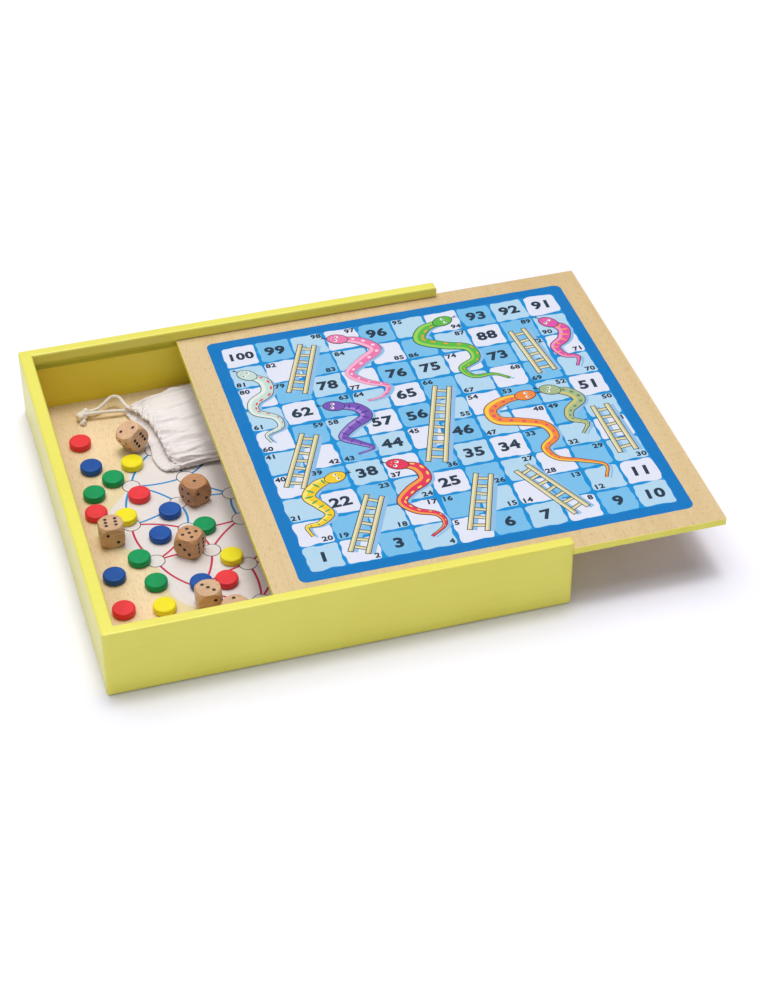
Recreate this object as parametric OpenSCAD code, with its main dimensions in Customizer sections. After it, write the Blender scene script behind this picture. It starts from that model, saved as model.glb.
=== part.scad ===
// Games compendium box: a square painted wooden box whose flat lid slides in grooves and doubles as a
// game board. Loose on its floor lie twenty counters, six dice and a cotton drawstring bag.
// The origin is the centre of the box's underside. +X is the way the lid is drawn out, +Y the back.

/* [Box] */
// Length of the box along the way the lid slides
box_l = 300; // [285:1:340]
// Width of the box from rail to rail, outside
box_w = 300; // [285:1:340]
// Height of the box
box_h = 50; // [46:0.5:70]
// Thickness of the front and back rails
rail_t = 8; // [7:0.5:11]
// Thickness of the two end walls
end_t = 9; // [7:0.5:12]
// Thickness of the base panel
base_t = 4; // [3:0.5:6]
// Depth of every rebate in the joinery, and of the closed end wall's lid groove
rebate_d = 4; // [2:0.5:5]
// Radius of the upright outer corners
corner_r = 3; // [1:0.5:5]
// Radius along the bottom outer edges
foot_r = 2; // [0.5:0.5:3]
// Radius along the top edges
brow_r = 1.5; // [0.25:0.25:2]

/* [Lid] */
// Thickness of the sliding lid
lid_t = 5; // [3:0.5:7]
// Distance that the lid is drawn out
lid_out = 104.4; // [0:0.1:180]
// Radius of the lid's corners seen from above
lid_corner_r = 2; // [0.5:0.5:4]
// Radius along the lid's edges
lid_edge_r = 0.6; // [0.2:0.1:1]

/* [Lid grooves] */
// Depth of the groove in each rail
groove_d = 4.5; // [2.5:0.5:5.5]
// Wood left above the groove
groove_lip = 7.2; // [5:0.2:9]
// Height of the groove beyond the lid's thickness
groove_play = 0.6; // [0.3:0.1:1.5]
// Gap beside each long edge of the lid in its groove
lid_side_gap = 0.3; // [0.2:0.1:1]
// Gap between the closed lid's end and the bottom of its groove
lid_end_gap = 0.2; // [0.1:0.1:1]
// Running gap under the lid
lid_under_gap = 0.1; // [0.05:0.05:0.2]

/* [Counters] */
// Diameter of a counter
counter_d = 15; // [10:0.5:16]
// Thickness of a counter
counter_t = 5; // [2:0.5:8]
// Radius of a counter's rims
counter_rim_r = 1.3; // [0.2:0.1:2]

/* [Dice] */
// Distance between opposite faces of a die
die_size = 16; // [12:0.5:17]
// Diameter of the ball that rounds a die's edges and corners
die_ball_d = 22.4; // [20:0.1:22.6]
// Diameter of a pip
pip_d = 2.4; // [1.5:0.1:2.6]
// Depth of a pip
pip_depth = 0.5; // [0.2:0.1:0.8]
// Distance between neighbouring pips of the six
pip_pitch = 3.2; // [2.8:0.1:3.4]

/* [Cotton bag] */
// Length of the bag from its mouth to its closed end
bag_l = 104; // [80:1:120]
// Width of the bag
bag_w = 90; // [80:1:100]
// Width of the gathered mouth
mouth_w = 70; // [50:1:75]
// Height of the cloth at the mouth
mouth_t = 12; // [6:0.5:16]
// Height of the cloth at the closed end
bag_end_t = 7; // [4:0.5:12]
// Radius of the bag's soft edges seen from above
bag_edge_r = 5; // [3:0.5:7]
// Distance along the bag in which it widens behind its mouth
bag_shoulder = 12; // [6:1:20]
// Distance that the mouth's front corner lies further along than its back corner
mouth_skew = 9; // [8:0.5:14]
// Gap between the bag and the back rail
bag_back_gap = 4; // [1:0.5:8]
// Diameter of the drawstring
cord_d = 2.4; // [1.6:0.1:3]

/* [Hidden] */
$fn = 64;
// How far a cutting shape runs past the surface that it cuts
over = 1;
// Gap between the floor and what lies on it with a soft or rounded underside
soft_gap = 0.3;

paint_yellow = [0.93, 0.88, 0.42];
beech = [0.87, 0.75, 0.55];
die_wood = [0.82, 0.62, 0.44];
cotton = [0.93, 0.90, 0.87];

// Inner faces of the walls
inner_x0 = end_t - box_l / 2;
inner_x1 = box_l / 2 - end_t;
inner_y0 = rail_t - box_w / 2;
inner_l = inner_x1 - inner_x0;
inner_w = box_w - 2 * rail_t;

// The grooves, and the lid that runs in them
groove_h = lid_t + groove_play;
groove_z = box_h - groove_lip - groove_h;
lid_w = inner_w + 2 * (groove_d - lid_side_gap);
lid_l = box_l / 2 - inner_x0 + rebate_d - lid_end_gap;
lid_x0 = inner_x0 - rebate_d + lid_end_gap + lid_out;
lid_z0 = groove_z + lid_under_gap;

// The bag lies against the back rail. Its cord leaves the back corner of the mouth, at the exit, which
// is placed along the floor by a share of its length, in percent.
exit_share = 21.6;
exit_x = inner_x0 + exit_share / 100 * inner_l;
exit_y = inner_y0 + inner_w - bag_back_gap - (bag_w - mouth_w);

// The first die leans on the mouth of the bag: how far along the mouth it lies, in percent, its gap from
// the mouth, the number on top, its own turn, its lean from the upright and the direction of the lean
leaning_share = 55;
lean_gap = 0.9;
leaning_top = 2;
leaning_turn = 106;
die_lean = 26;
lean_bearing = 197;
die_face_r = sqrt(pow(die_ball_d / 2, 2) - pow(die_size / 2, 2));
leaning_reach = die_size / 2 * cos(die_lean) + die_face_r * sin(die_lean);
leaning_y = -leaning_share / 100 * mouth_w;
leaning_x = mouth_skew * (-leaning_y - bag_edge_r) / (mouth_w - 2 * bag_edge_r) - leaning_reach - lean_gap;
leaning_place = [exit_x + leaning_x, exit_y + leaning_y, base_t + soft_gap + leaning_reach];

// The first yellow counter lies beside that die, in this direction from it and just clear of its corners
beside_bearing = -103;
beside_gap = 0.25;
beside_reach = (die_ball_d + counter_d) / 2 + beside_gap;
beside_place = [leaning_place.x + beside_reach * cos(beside_bearing),
    leaning_place.y + beside_reach * sin(beside_bearing), base_t];

// The other loose pieces: where each lies, in percent of the floor's length and width from its front
// left corner
counter_sets = [
    ["red_counter", [0.88, 0.25, 0.29],
        spots([[7.2, 82.6], [17, 59.3], [5.9, 55.4], [5.4, 20.8], [29.9, 24.3]])],
    ["blue_counter", [0.11, 0.29, 0.61],
        spots([[8, 72.6], [22.7, 51.5], [18.7, 43.7], [5.6, 32.5], [24.1, 24.8]])],
    ["yellow_counter", [0.97, 0.90, 0.10],
        concat([beside_place], spots([[12.3, 52.2], [14.4, 19.3], [32.8, 31.7], [43, 9.5]]))],
    ["green_counter", [0.04, 0.60, 0.33],
        spots([[12.2, 66.9], [6.8, 62.5], [29.3, 44], [12.3, 36.9], [14.3, 27.8]])],
];

// Dice that lie flat: place, number on top and turn about the upright
flat_dice = [
    [[29.6, 55], 1, 115],
    [[24.3, 37], 5, 142],
    [[7.7, 45.8], 6, 88],
    [[24.2, 17.7], 3, 88],
    [[28.8, 11.1], 2, 42],
];

// Turns that bring each number, 1 to 6, to the top, and each number's pips as steps of the pitch
top_turns = [[180, 0, 0], [0, 90, 0], [90, 0, 0], [-90, 0, 0], [0, -90, 0], [0, 0, 0]];
one = [[0, 0]];
two = [[1, 1], [-1, -1]];
four = [[1, 1], [-1, -1], [1, -1], [-1, 1]];
six = concat(four, [[0, 1], [0, -1]]);
pips = [one, two, concat(one, two), four, concat(one, four), six];
pip_ball_r = (pow(pip_d / 2, 2) + pow(pip_depth, 2)) / (2 * pip_depth);

// The bag's soft corners from the exit: along X, along Y and height of the cloth there
bag_corners = [
    [bag_edge_r, -bag_edge_r, mouth_t],
    [bag_edge_r + mouth_skew, bag_edge_r - mouth_w, mouth_t],
    [bag_l - bag_edge_r, bag_edge_r - mouth_w, bag_end_t],
    [bag_l - bag_edge_r, bag_w - mouth_w - bag_edge_r, bag_end_t],
    [bag_edge_r + bag_shoulder, (bag_w - mouth_w) / 2, mouth_t],
];

// Routes of the two strands from the knot to the mouth, from the exit and the floor
arched_route = [
    [-30, 5.6, 4.4], [-26, 5.4, 4.6], [-22.4, 6.2, 4.9], [-19.2, 8, 5.5], [-16, 10, 6.5], [-13.1, 11.7, 7.6],
    [-10.9, 12.4, 8.3], [-8.5, 12.1, 8.7], [-6.6, 10.7, 8.7], [-5.3, 8.5, 8.4], [-4.4, 5.8, 7.9],
    [-3.4, 2.4, 7.3], [-1.8, -1, 6.9], [1.7, -4, 6.8], [5.5, -5.6, 6.8],
];
straight_route = [
    [-31, 2.7, 4.6], [-26.6, 2.3, 4.9], [-22, 1.9, 4.9], [-18, 1.5, 4.8], [-12.4, 1, 4.6], [-6.8, 0.5, 4.2],
    [-2.4, 0.2, 3.9], [2.5, -1.8, 3.9], [7.5, -5, 4.1],
];

// The knot's two lumps and its frayed end: centre from the exit and the floor, and radius
knot_lumps = [[[-34.2, 2.6, 3.5], 3.3], [[-30.8, 6, 4.4], 2.4], [[-34.4, -1.8, 2.4], 2.3]];

function spot(share) = [inner_x0 + share.x / 100 * inner_l, inner_y0 + share.y / 100 * inner_w, base_t];
function spots(shares) = [for (share = shares) spot(share)];

// What a fillet of radius r takes off a square corner at the origin, with the wood on the +X +Y side
module corner_waste(r) {
    difference() {
        translate([-over, -over]) square(r + over);
        translate([r, r]) circle(r);
    }
}

// A rectangle from the origin with its two lower and two upper corners filleted
module eased_rectangle(w, h, low_r, high_r) {
    difference() {
        square([w, h]);
        for (side = [0, 1]) translate([side * w, 0]) mirror([side, 0]) {
            corner_waste(low_r);
            translate([0, h]) mirror([0, 1]) corner_waste(high_r);
        }
    }
}

// Extrudes an outline drawn in Y and Z along X
module along_x(length) {
    rotate([90, 0, 90]) linear_extrude(length) children();
}

// Extrudes an outline drawn in X and Z along +Y
module along_y(length) {
    translate([0, length, 0]) rotate([90, 0, 0]) linear_extrude(length) children();
}

// A block with its corner at the origin, eased along every edge
module eased_block(l, w, h, upright_r, low_r, high_r) {
    intersection() {
        linear_extrude(h) eased_rectangle(l, w, upright_r, upright_r);
        along_x(l) eased_rectangle(w, h, low_r, high_r);
        along_y(w) eased_rectangle(l, h, low_r, high_r);
    }
}

// The whole box as one block, which every wall is a slice of
module envelope() {
    translate([-box_l / 2, -box_w / 2, 0])
        eased_block(box_l, box_w, box_h, corner_r, foot_r, brow_r);
}

// The base panel's block, which is also the housing cut for it in the walls
module base_block() {
    translate([inner_x0 - rebate_d, inner_y0 - rebate_d, 0])
        cube([inner_l + 2 * rebate_d, inner_w + 2 * rebate_d, base_t]);
}

// A wall's section from its outer face at 0, with the lid groove and the radius of its inner top edge
module grooved_section(thick, depth, edge_r) {
    difference() {
        square([thick, box_h]);
        translate([thick - depth, groove_z]) square([depth + over, groove_h]);
        if (edge_r > 0) translate([thick, box_h]) mirror([1, 0]) mirror([0, 1]) corner_waste(edge_r);
    }
}

// The part of the rail that is housed in the closed end wall keeps a square inner edge, flush with it
module front_rail() {
    color(paint_yellow) difference() {
        intersection() {
            envelope();
            translate([inner_x0, -box_w / 2, 0]) {
                along_x(box_l / 2 - inner_x0) grooved_section(rail_t, groove_d, brow_r);
                translate([-rebate_d, 0, 0]) along_x(rebate_d) grooved_section(rail_t, groove_d, 0);
            }
        }
        base_block();
    }
}

module back_rail() {
    mirror([0, 1, 0]) front_rail();
}

module closed_end_wall() {
    color(paint_yellow) difference() {
        intersection() {
            envelope();
            translate([-box_l / 2, -box_w / 2, 0]) along_y(box_w) grooved_section(end_t, rebate_d, brow_r);
        }
        base_block();
        for (side = [0, 1]) mirror([0, side, 0])
            translate([inner_x0 - rebate_d, -box_w / 2 - over, -over])
                cube([rebate_d + over, rail_t + over, box_h + 2 * over]);
    }
}

// The lid passes over this wall, so it ends level with the bottom of the grooves
module open_end_wall() {
    color(paint_yellow) difference() {
        intersection() {
            envelope();
            translate([inner_x1, inner_y0, 0]) cube([end_t, inner_w, groove_z]);
        }
        base_block();
    }
}

module base_panel() {
    color(beech) base_block();
}

module sliding_lid() {
    color(beech) translate([lid_x0, -lid_w / 2, lid_z0])
        eased_block(lid_l, lid_w, lid_t, lid_corner_r, lid_edge_r, lid_edge_r);
}

module counter() {
    rotate_extrude() difference() {
        square([counter_d / 2, counter_t]);
        for (side = [0, 1]) translate([counter_d / 2, side * counter_t]) mirror([1, 0])
            mirror([0, side]) corner_waste(min(counter_rim_r, counter_t / 2));
    }
}

// A rounded cube with a drilled pattern on each face. Opposite faces add up to seven.
module die() {
    color(die_wood) difference() {
        intersection() {
            cube(die_size, center = true);
            sphere(d = die_ball_d);
        }
        for (number = [1:6]) rotate(-top_turns[number - 1])
            for (pip = pips[number - 1])
                translate([pip.x * pip_pitch, pip.y * pip_pitch, die_size / 2 + pip_ball_r - pip_depth])
                    sphere(pip_ball_r);
    }
}

module flat_die(place, number, turn) {
    translate(spot(place)) translate([0, 0, die_size / 2])
        rotate([0, 0, turn]) rotate(top_turns[number - 1]) die();
}

// Stands on the rim of one face, tipped over towards the bag's mouth
module leaning_die() {
    translate(leaning_place) rotate([0, 0, lean_bearing]) rotate([0, die_lean, 0])
        rotate([0, 0, leaning_turn]) rotate(top_turns[leaning_top - 1]) die();
}

module cotton_bag() {
    color(cotton) translate([exit_x, exit_y, base_t + soft_gap]) hull()
        for (corner = bag_corners) translate([corner.x, corner.y, corner.z / 2])
            scale([1, 1, corner.z / 2 / bag_edge_r]) sphere(bag_edge_r, $fn = 32);
}

function unit(v) = v / norm(v);
function heading(route, i) = unit(route[min(i + 1, len(route) - 1)] - route[max(i - 1, 0)]);

// A ring of points about one point of a route, square to the way the cord runs there
function ring(route, i, sides) =
    let (ahead = heading(route, i), side = unit(cross(ahead, [0, 0, 1])), up = cross(side, ahead))
    [for (k = [0:sides - 1]) let (turn = k * 360 / sides)
        route[i] + cord_d / 2 * (cos(turn) * side + sin(turn) * up)];

// The cord as a tube of flat facets along its route
module strand(route, sides = 8) {
    last = len(route) - 1;
    color(cotton) translate([exit_x, exit_y, base_t]) polyhedron(
        points = [for (i = [0:last]) each ring(route, i, sides)],
        faces = concat(
            [[for (k = [0:sides - 1]) k]],
            [for (i = [0:last - 1], k = [0:sides - 1])
                let (a = i * sides + k, b = i * sides + (k + 1) % sides)
                each [[a, a + sides, b], [b, a + sides, b + sides]]],
            [[for (k = [sides - 1:-1:0]) last * sides + k]]
        )
    );
}

module drawstring_knot() {
    color(cotton) translate([exit_x, exit_y, base_t])
        for (lump = knot_lumps) translate(lump[0]) sphere(lump[1]);
}

front_rail();
back_rail();
closed_end_wall();
open_end_wall();
base_panel();
sliding_lid();
for (set = counter_sets, i = [1:len(set[2])])
    color(set[1]) translate(set[2][i - 1]) counter();
leaning_die();  // die_1
for (i = [1:len(flat_dice)])
    flat_die(flat_dice[i - 1][0], flat_dice[i - 1][1], flat_dice[i - 1][2]);
cotton_bag();
strand(arched_route);  // drawstring_arched
strand(straight_route);  // drawstring_straight
drawstring_knot();
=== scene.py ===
# Games compendium box: a yellow painted box whose sliding lid carries a printed ladder game, with
# counters, dice and a cotton drawstring bag on its printed floor. Sizes are in millimetres until a
# mesh takes its place, and Blender's metres after that and in the shaders.
import math
import random

import bpy
from mathutils import Matrix, Vector, noise


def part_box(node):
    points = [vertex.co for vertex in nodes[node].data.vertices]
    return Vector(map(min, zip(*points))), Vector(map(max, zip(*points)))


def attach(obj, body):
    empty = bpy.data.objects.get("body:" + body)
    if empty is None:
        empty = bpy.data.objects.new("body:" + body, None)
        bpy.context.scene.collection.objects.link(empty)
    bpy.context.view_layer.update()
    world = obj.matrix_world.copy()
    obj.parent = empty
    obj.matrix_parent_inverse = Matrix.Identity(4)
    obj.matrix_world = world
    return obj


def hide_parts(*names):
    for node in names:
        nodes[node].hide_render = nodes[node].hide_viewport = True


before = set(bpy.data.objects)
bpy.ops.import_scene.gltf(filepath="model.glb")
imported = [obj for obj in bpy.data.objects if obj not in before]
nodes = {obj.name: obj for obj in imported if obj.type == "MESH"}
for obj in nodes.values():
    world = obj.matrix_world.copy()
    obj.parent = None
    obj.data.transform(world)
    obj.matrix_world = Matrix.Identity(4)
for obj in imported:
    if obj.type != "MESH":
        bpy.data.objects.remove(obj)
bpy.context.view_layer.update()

MM = 0.001
scene = bpy.context.scene

# The box, as the CAD frame holds it
FLOOR_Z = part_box("base_panel")[1].z / MM
LID_LOW, LID_HIGH = (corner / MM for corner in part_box("sliding_lid"))
LID_TOP = LID_HIGH.z
GROOVE_LOW = (LID_LOW.z - 0.1) * MM  # the lid runs 0.1 mm above the groove's lower face
HALF_X, HALF_Y = 141.0, 142.0  # half of the floor's width and depth

# ---- camera

EYE = Vector((-0.27627, -1.19229, 1.01471))
LOOK = Vector((0.214898, 0.739039, -0.638466))
RIGHT = Vector((0.959759, -0.280818, -0.002013))


def aim_camera():
    camera = bpy.data.cameras.new("camera")
    camera.lens = 85.365
    camera.sensor_width = 36
    holder = bpy.data.objects.new("camera", camera)
    scene.collection.objects.link(holder)
    up = RIGHT.cross(LOOK)
    turn = Matrix((RIGHT, up, -LOOK)).transposed().to_4x4()
    holder.matrix_world = Matrix.Translation(EYE) @ turn
    scene.camera = holder


aim_camera()

# ---- working by hand


def take(*pieces):
    """Selects these pieces alone, the first of them active."""
    bpy.ops.object.select_all(action="DESELECT")
    for piece in pieces:
        piece.select_set(True)
    bpy.context.view_layer.objects.active = pieces[0]


def settle(piece):
    """Applies what a piece still carries, so that its place and shape are in its mesh."""
    take(piece)
    for modifier in list(piece.modifiers):
        bpy.ops.object.modifier_apply(modifier=modifier.name)
    bpy.ops.object.transform_apply(location=True, rotation=True, scale=True)
    return piece


def face_outwards(piece, weld=None):
    """Turns a piece's faces outwards, and first welds vertices that lie this close, if asked."""
    take(piece)
    bpy.ops.object.mode_set(mode="EDIT")
    bpy.ops.mesh.select_all(action="SELECT")
    if weld:
        bpy.ops.mesh.remove_doubles(threshold=weld)
    bpy.ops.mesh.normals_make_consistent(inside=False)
    bpy.ops.object.mode_set(mode="OBJECT")


def new_piece(name, mesh):
    piece = bpy.data.objects.new(name, mesh)
    scene.collection.objects.link(piece)
    return piece


def unrest(x, y, z):
    """Smooth noise between -1 and 1."""
    return noise.noise(Vector((x, y, z)))


# ---- shader writing


class Signal:
    """A number that varies over a surface. Arithmetic on it adds Math nodes."""

    def __init__(self, finish, socket):
        self.finish, self.socket = finish, socket

    def _math(self, operation, *others, flip=False):
        terms = [*others, self] if flip else [self, *others]
        return self.finish.node("Math", {"operation": operation}, *terms)

    def __add__(self, other): return self._math("ADD", other)
    def __radd__(self, other): return self._math("ADD", other)
    def __sub__(self, other): return self._math("SUBTRACT", other)
    def __rsub__(self, other): return self._math("SUBTRACT", other, flip=True)
    def __mul__(self, other): return self._math("MULTIPLY", other)
    def __rmul__(self, other): return self._math("MULTIPLY", other)
    def __abs__(self): return self._math("ABSOLUTE")
    def least(self, other): return self._math("MINIMUM", other)
    def sine(self): return self._math("SINE")

    def ramp(self, low, high):
        """0 below low, 1 above high and smooth between them."""
        return self.finish.node(
            "MapRange", {"interpolation_type": "SMOOTHSTEP"}, self, low, high, 0.0, 1.0
        )


class Finish:
    """A material, built from its Principled shader backwards."""

    def __init__(self, name, **constants):
        self.material = bpy.data.materials.new(name)
        self.material.use_nodes = True
        self.tree = self.material.node_tree
        self.shader = self.tree.nodes["Principled BSDF"]
        for socket, value in constants.items():
            self.shader.inputs[socket.replace("_", " ")].default_value = value

    def node(self, kind, settings, *values, out=0, **named):
        """Adds a shader node: its settings first, then its sockets by order or by name."""
        made = self.tree.nodes.new("ShaderNode" + kind)
        for setting, value in settings.items():
            setattr(made, setting, value)
        sockets = [*zip(made.inputs, values)]
        sockets += [(made.inputs[n.replace("_", " ")], v) for n, v in named.items()]
        for socket, value in sockets:
            if isinstance(value, Signal):
                self.tree.links.new(value.socket, socket)
            elif value is not None:
                socket.default_value = value
        return Signal(self, made.outputs[out])

    def mix(self, share, first, second):
        """A colour between two colours."""
        made = self.tree.nodes.new("ShaderNodeMix")
        made.data_type = "RGBA"
        for index, value in ((0, share), (6, first), (7, second)):
            if isinstance(value, Signal):
                self.tree.links.new(value.socket, made.inputs[index])
            else:
                made.inputs[index].default_value = value
        return Signal(self, made.outputs[2])

    def place(self):
        """Where a point lies on the object, in metres."""
        return self.node("TexCoord", {}, out=3)

    def axes(self, place):
        split = self.node("SeparateXYZ", {}, place)
        return [Signal(self, output) for output in split.socket.node.outputs]

    def stretch(self, place, scale, turn=(0, 0, 0), shift=(0, 0, 0)):
        """A place in a pattern's own measure: turned, then scaled along each axis."""
        return self.node("Mapping", {}, place, shift, turn, scale)

    def speckle(self, place, scale=1.0, detail=2.0, roughness=0.5, distortion=0.0):
        return self.node(
            "TexNoise", {}, Vector=place, Scale=scale, Detail=detail,
            Roughness=roughness, Distortion=distortion,
        )

    def feed(self, **sockets):
        """Links signals into the shader."""
        for socket, signal in sockets.items():
            self.tree.links.new(signal.socket, self.shader.inputs[socket.replace("_", " ")])

    def relief(self, height, depth, strength=1.0):
        """Turns a height of 0 to 1 into a surface normal. depth is in metres."""
        return self.node("Bump", {}, Strength=strength, Distance=depth, Height=height)


def tone(code):
    """A colour written as six hex digits, as a shader takes it."""
    channels = [int(code[i:i + 2], 16) / 255 for i in (0, 2, 4)]
    linear = [c / 12.92 if c <= 0.04045 else ((c + 0.055) / 1.055) ** 2.4 for c in channels]
    return (*linear, 1.0)


# ---- finishes


def painted_wood(name, light, deep, inner):
    """Satin paint with a faint brushed skin. Inside the box its colour is painted deeper and
    warmer: painted shade and painted yellow bounce light.
    """
    f = Finish(name, IOR=1.46, Specular_IOR_Level=0.3, Coat_Weight=0.35, Coat_Roughness=0.18)
    place = f.place()
    x, y, z = f.axes(place)
    cloud = f.speckle(place, 14, 3)
    grain = f.speckle(f.stretch(place, (26, 240, 240)), 1, 4, 0.6)
    pits = f.speckle(place, 1500, 2, 0.5)
    share = (cloud * 0.7 + grain * 0.3).ramp(0.35, 0.68)
    seam = 0.3 * MM  # the painted inner shade fades out over twice this, behind the walls' inner faces
    within = (HALF_X * MM + seam - abs(x)).least(HALF_Y * MM + seam - abs(y))
    within = within.least(GROOVE_LOW - z)
    base = f.mix(share, tone(light), tone(deep))
    # inner is painted shade: a deeper, warmer yellow that stands in for the shade and bounce light
    # inside the box
    f.feed(
        Base_Color=f.mix(within.ramp(-seam, seam) * 0.75, base, tone(inner)),
        Roughness=0.32 + 0.1 * grain,
        Normal=f.relief(grain * 0.6 + pits * 0.4, 0.00005, 0.4),
    )
    return f.material


def beech_colour(f, place, light, deep, seed=0.0):
    """Straight-grained beech, cut so that its grain runs along Y: colour and height."""
    bands = f.speckle(f.stretch(place, (150, 5, 150), shift=(seed, seed, 0)), 1, 5, 0.62, 0.4)
    board = f.speckle(f.stretch(place, (18, 2.2, 18), shift=(seed, 0, seed)), 1, 2)
    flecks = f.speckle(f.stretch(place, (1800, 230, 1800), shift=(0, seed, 0)), 1, 1.2, 0.5, 0.2)
    pores = f.speckle(f.stretch(place, (3600, 500, 3600)), 1, 1)
    fleck, pore = flecks.ramp(0.57, 0.68), pores.ramp(0.58, 0.74)
    colour = f.mix((bands * 0.5 + board * 0.5).ramp(0.3, 0.7), tone(light), tone(deep))
    colour = f.mix(fleck * 0.3, colour, tone("AE7443"))
    colour = f.mix(pore * 0.1, colour, tone("9A6A3C"))
    return colour, 1 - fleck * 0.6 - pore * 0.4


def bare_beech(name, light, deep):
    f = Finish(name, IOR=1.45, Specular_IOR_Level=0.35)
    place = f.place()
    colour, height = beech_colour(f, place, light, deep)
    f.feed(
        Base_Color=colour,
        Roughness=0.62 - 0.14 * height,
        Normal=f.relief(height, 0.00005, 0.6),
    )
    return f.material


def lid_finish(name, light, deep):
    """Varnished beech with its edges painted yellow."""
    f = Finish(name, IOR=1.45, Specular_IOR_Level=0.35)
    place = f.place()
    x, y = f.axes(place)[:2]
    rim = 0.35 * MM  # how far the paint laps onto the top
    inward = (x - (LID_LOW.x * MM + rim)).least(LID_HIGH.x * MM - rim - x)
    inward = inward.least(LID_HIGH.y * MM - rim - abs(y))
    bleed = f.speckle(place, 900, 2)
    wood = (inward + (bleed - 0.5) * 0.0002).ramp(-0.00005, 0.00005)
    colour, height = beech_colour(f, place, "DDC394", "D2B583", 0.7)
    cloud = f.speckle(place, 60, 3)
    paint = f.mix(cloud.ramp(0.35, 0.7), tone(light), tone(deep))
    f.feed(
        Base_Color=f.mix(wood, paint, colour),
        Roughness=0.36 + wood * (0.2 - 0.12 * height),
        Normal=f.relief(height, 0.00005, 0.5),
    )
    return f.material


paint_light, paint_deep = "ECE564", "E8DF5A"
# EFD728 is the painted shade and bounce light on the box's inner faces
YELLOW_PAINT = painted_wood("yellow_paint", paint_light, paint_deep, "EFD728")
BEECH = bare_beech("beech", "F0DAB2", "E5CA9D")
LID_WOOD = lid_finish("lid_beech", paint_light, paint_deep)


def dress(node, material):
    """Gives a CAD piece its finish."""
    piece = nodes[node]
    piece.data.materials.clear()
    piece.data.materials.append(material)
    for holder in piece.material_slots:
        holder.material = material


for wall in ("front_rail", "back_rail", "closed_end_wall", "open_end_wall"):
    dress(wall, YELLOW_PAINT)
dress("base_panel", BEECH)
dress("sliding_lid", LID_WOOD)

# ---- counters


def lacquered_wood(name, light, deep):
    """Glossy dipped colour over turned wood."""
    f = Finish(name, IOR=1.48, Specular_IOR_Level=0.18, Coat_Weight=0.08, Coat_Roughness=0.2)
    place = f.place()
    cloud = f.speckle(place, 90, 3)
    grain = f.speckle(f.stretch(place, (300, 1500, 1500), turn=(0, 0, 0.5)), 1, 3, 0.6)
    skin = f.speckle(place, 2200, 1.5)
    f.feed(
        Base_Color=f.mix((cloud * 0.7 + grain * 0.3).ramp(0.35, 0.68), tone(light), tone(deep)),
        Roughness=0.32 + 0.14 * grain,
        Normal=f.relief(grain * 0.6 + skin * 0.4, 0.00006, 0.4),
    )
    return f.material


COUNTER_COLOURS = {
    "red": ("EC3A40", "E3343B"),
    "blue": ("1A55A8", "164C9C"),
    "yellow": ("F3E622", "ECDC18"),
    "green": ("009A58", "008C4F"),
}
for colour, tones in COUNTER_COLOURS.items():
    lacquer = lacquered_wood(colour + "_lacquer", *tones)
    for i in range(1, 6):
        dress(f"{colour}_counter_{i}", lacquer)

# ---- printed ink


def printed_ink(name, code, roughness=0.42):
    """Ink on varnished wood: a little cloudy, and the pores of the beech show through it."""
    f = Finish(name, IOR=1.47, Specular_IOR_Level=0.12)
    place = f.place()
    cloud = f.speckle(place, 45, 3)
    dots = f.speckle(place, 2600, 1)
    pores = f.speckle(f.stretch(place, (1500, 210, 1500)), 1, 1.5, 0.5, 0.2).ramp(0.6, 0.68)
    colour, worn, deep = (
        tuple(c * share + haze for c in tone(code)[:3]) + (1.0,)
        for share, haze in ((0.91, 0), (0.9, 0.008), (0.83, 0))
    )
    base = f.mix((cloud * 0.75 + dots * 0.25).ramp(0.3, 0.7), worn, colour)
    f.feed(
        Base_Color=f.mix(pores * 0.6, base, deep),
        Roughness=roughness + 0.1 * cloud + 0.08 * pores,
        Normal=f.relief(1 - pores, 0.00003, 0.45),
    )
    return f.material


def curve_place(a, b, c, d, share):
    """A place on a Catmull-Rom curve, this share of the way from b to c."""
    return 0.5 * (
        2 * b + (c - a) * share + (2 * a - 5 * b + 4 * c - d) * share**2
        + (3 * b - a - 3 * c + d) * share**3
    )


def smooth_line(points, steps=8):
    """A curve through points of any number of axes, with this many steps between each two."""
    points = [Vector(p) for p in points]
    ends = [2 * points[0] - points[1], *points, 2 * points[-1] - points[-2]]
    line = [
        curve_place(*four, k / steps)
        for four in zip(ends, ends[1:], ends[2:], ends[3:]) for k in range(steps)
    ]
    return line + [points[-1]]


def heading(line, i):
    """Which way a line runs at one of its points."""
    return (line[min(i + 1, len(line) - 1)] - line[max(i - 1, 0)]).normalized()


def left_of(way):
    return Vector((-way.y, way.x))


def ribbon(line, half_width):
    """The outline of a band along a line. half_width takes the share of the way along it."""
    left, right = [], []
    for i, point in enumerate(line):
        side = left_of(heading(line, i)) * half_width(i / (len(line) - 1))
        left.append(point + side)
        right.append(point - side)
    return left + right[::-1]


def strip(start, end, width):
    start, end = Vector(start), Vector(end)
    return ribbon([start, start.lerp(end, 0.5), end], lambda share: width / 2)


def disc(centre, radius, radius_2=None, turn=0.0, points=28):
    """An ellipse: radius along the turn, radius_2 across it."""
    across = radius if radius_2 is None else radius_2
    c, s = math.cos(turn), math.sin(turn)
    angles = [k * math.tau / points for k in range(points)]
    return [
        Vector((
            centre[0] + radius * math.cos(a) * c - across * math.sin(a) * s,
            centre[1] + radius * math.cos(a) * s + across * math.sin(a) * c,
        ))
        for a in angles
    ]


def shifted(outline, by):
    return [point + Vector(by) for point in outline]


INK_SINK = 0.01  # how far a print's underside lies in the wood


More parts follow.
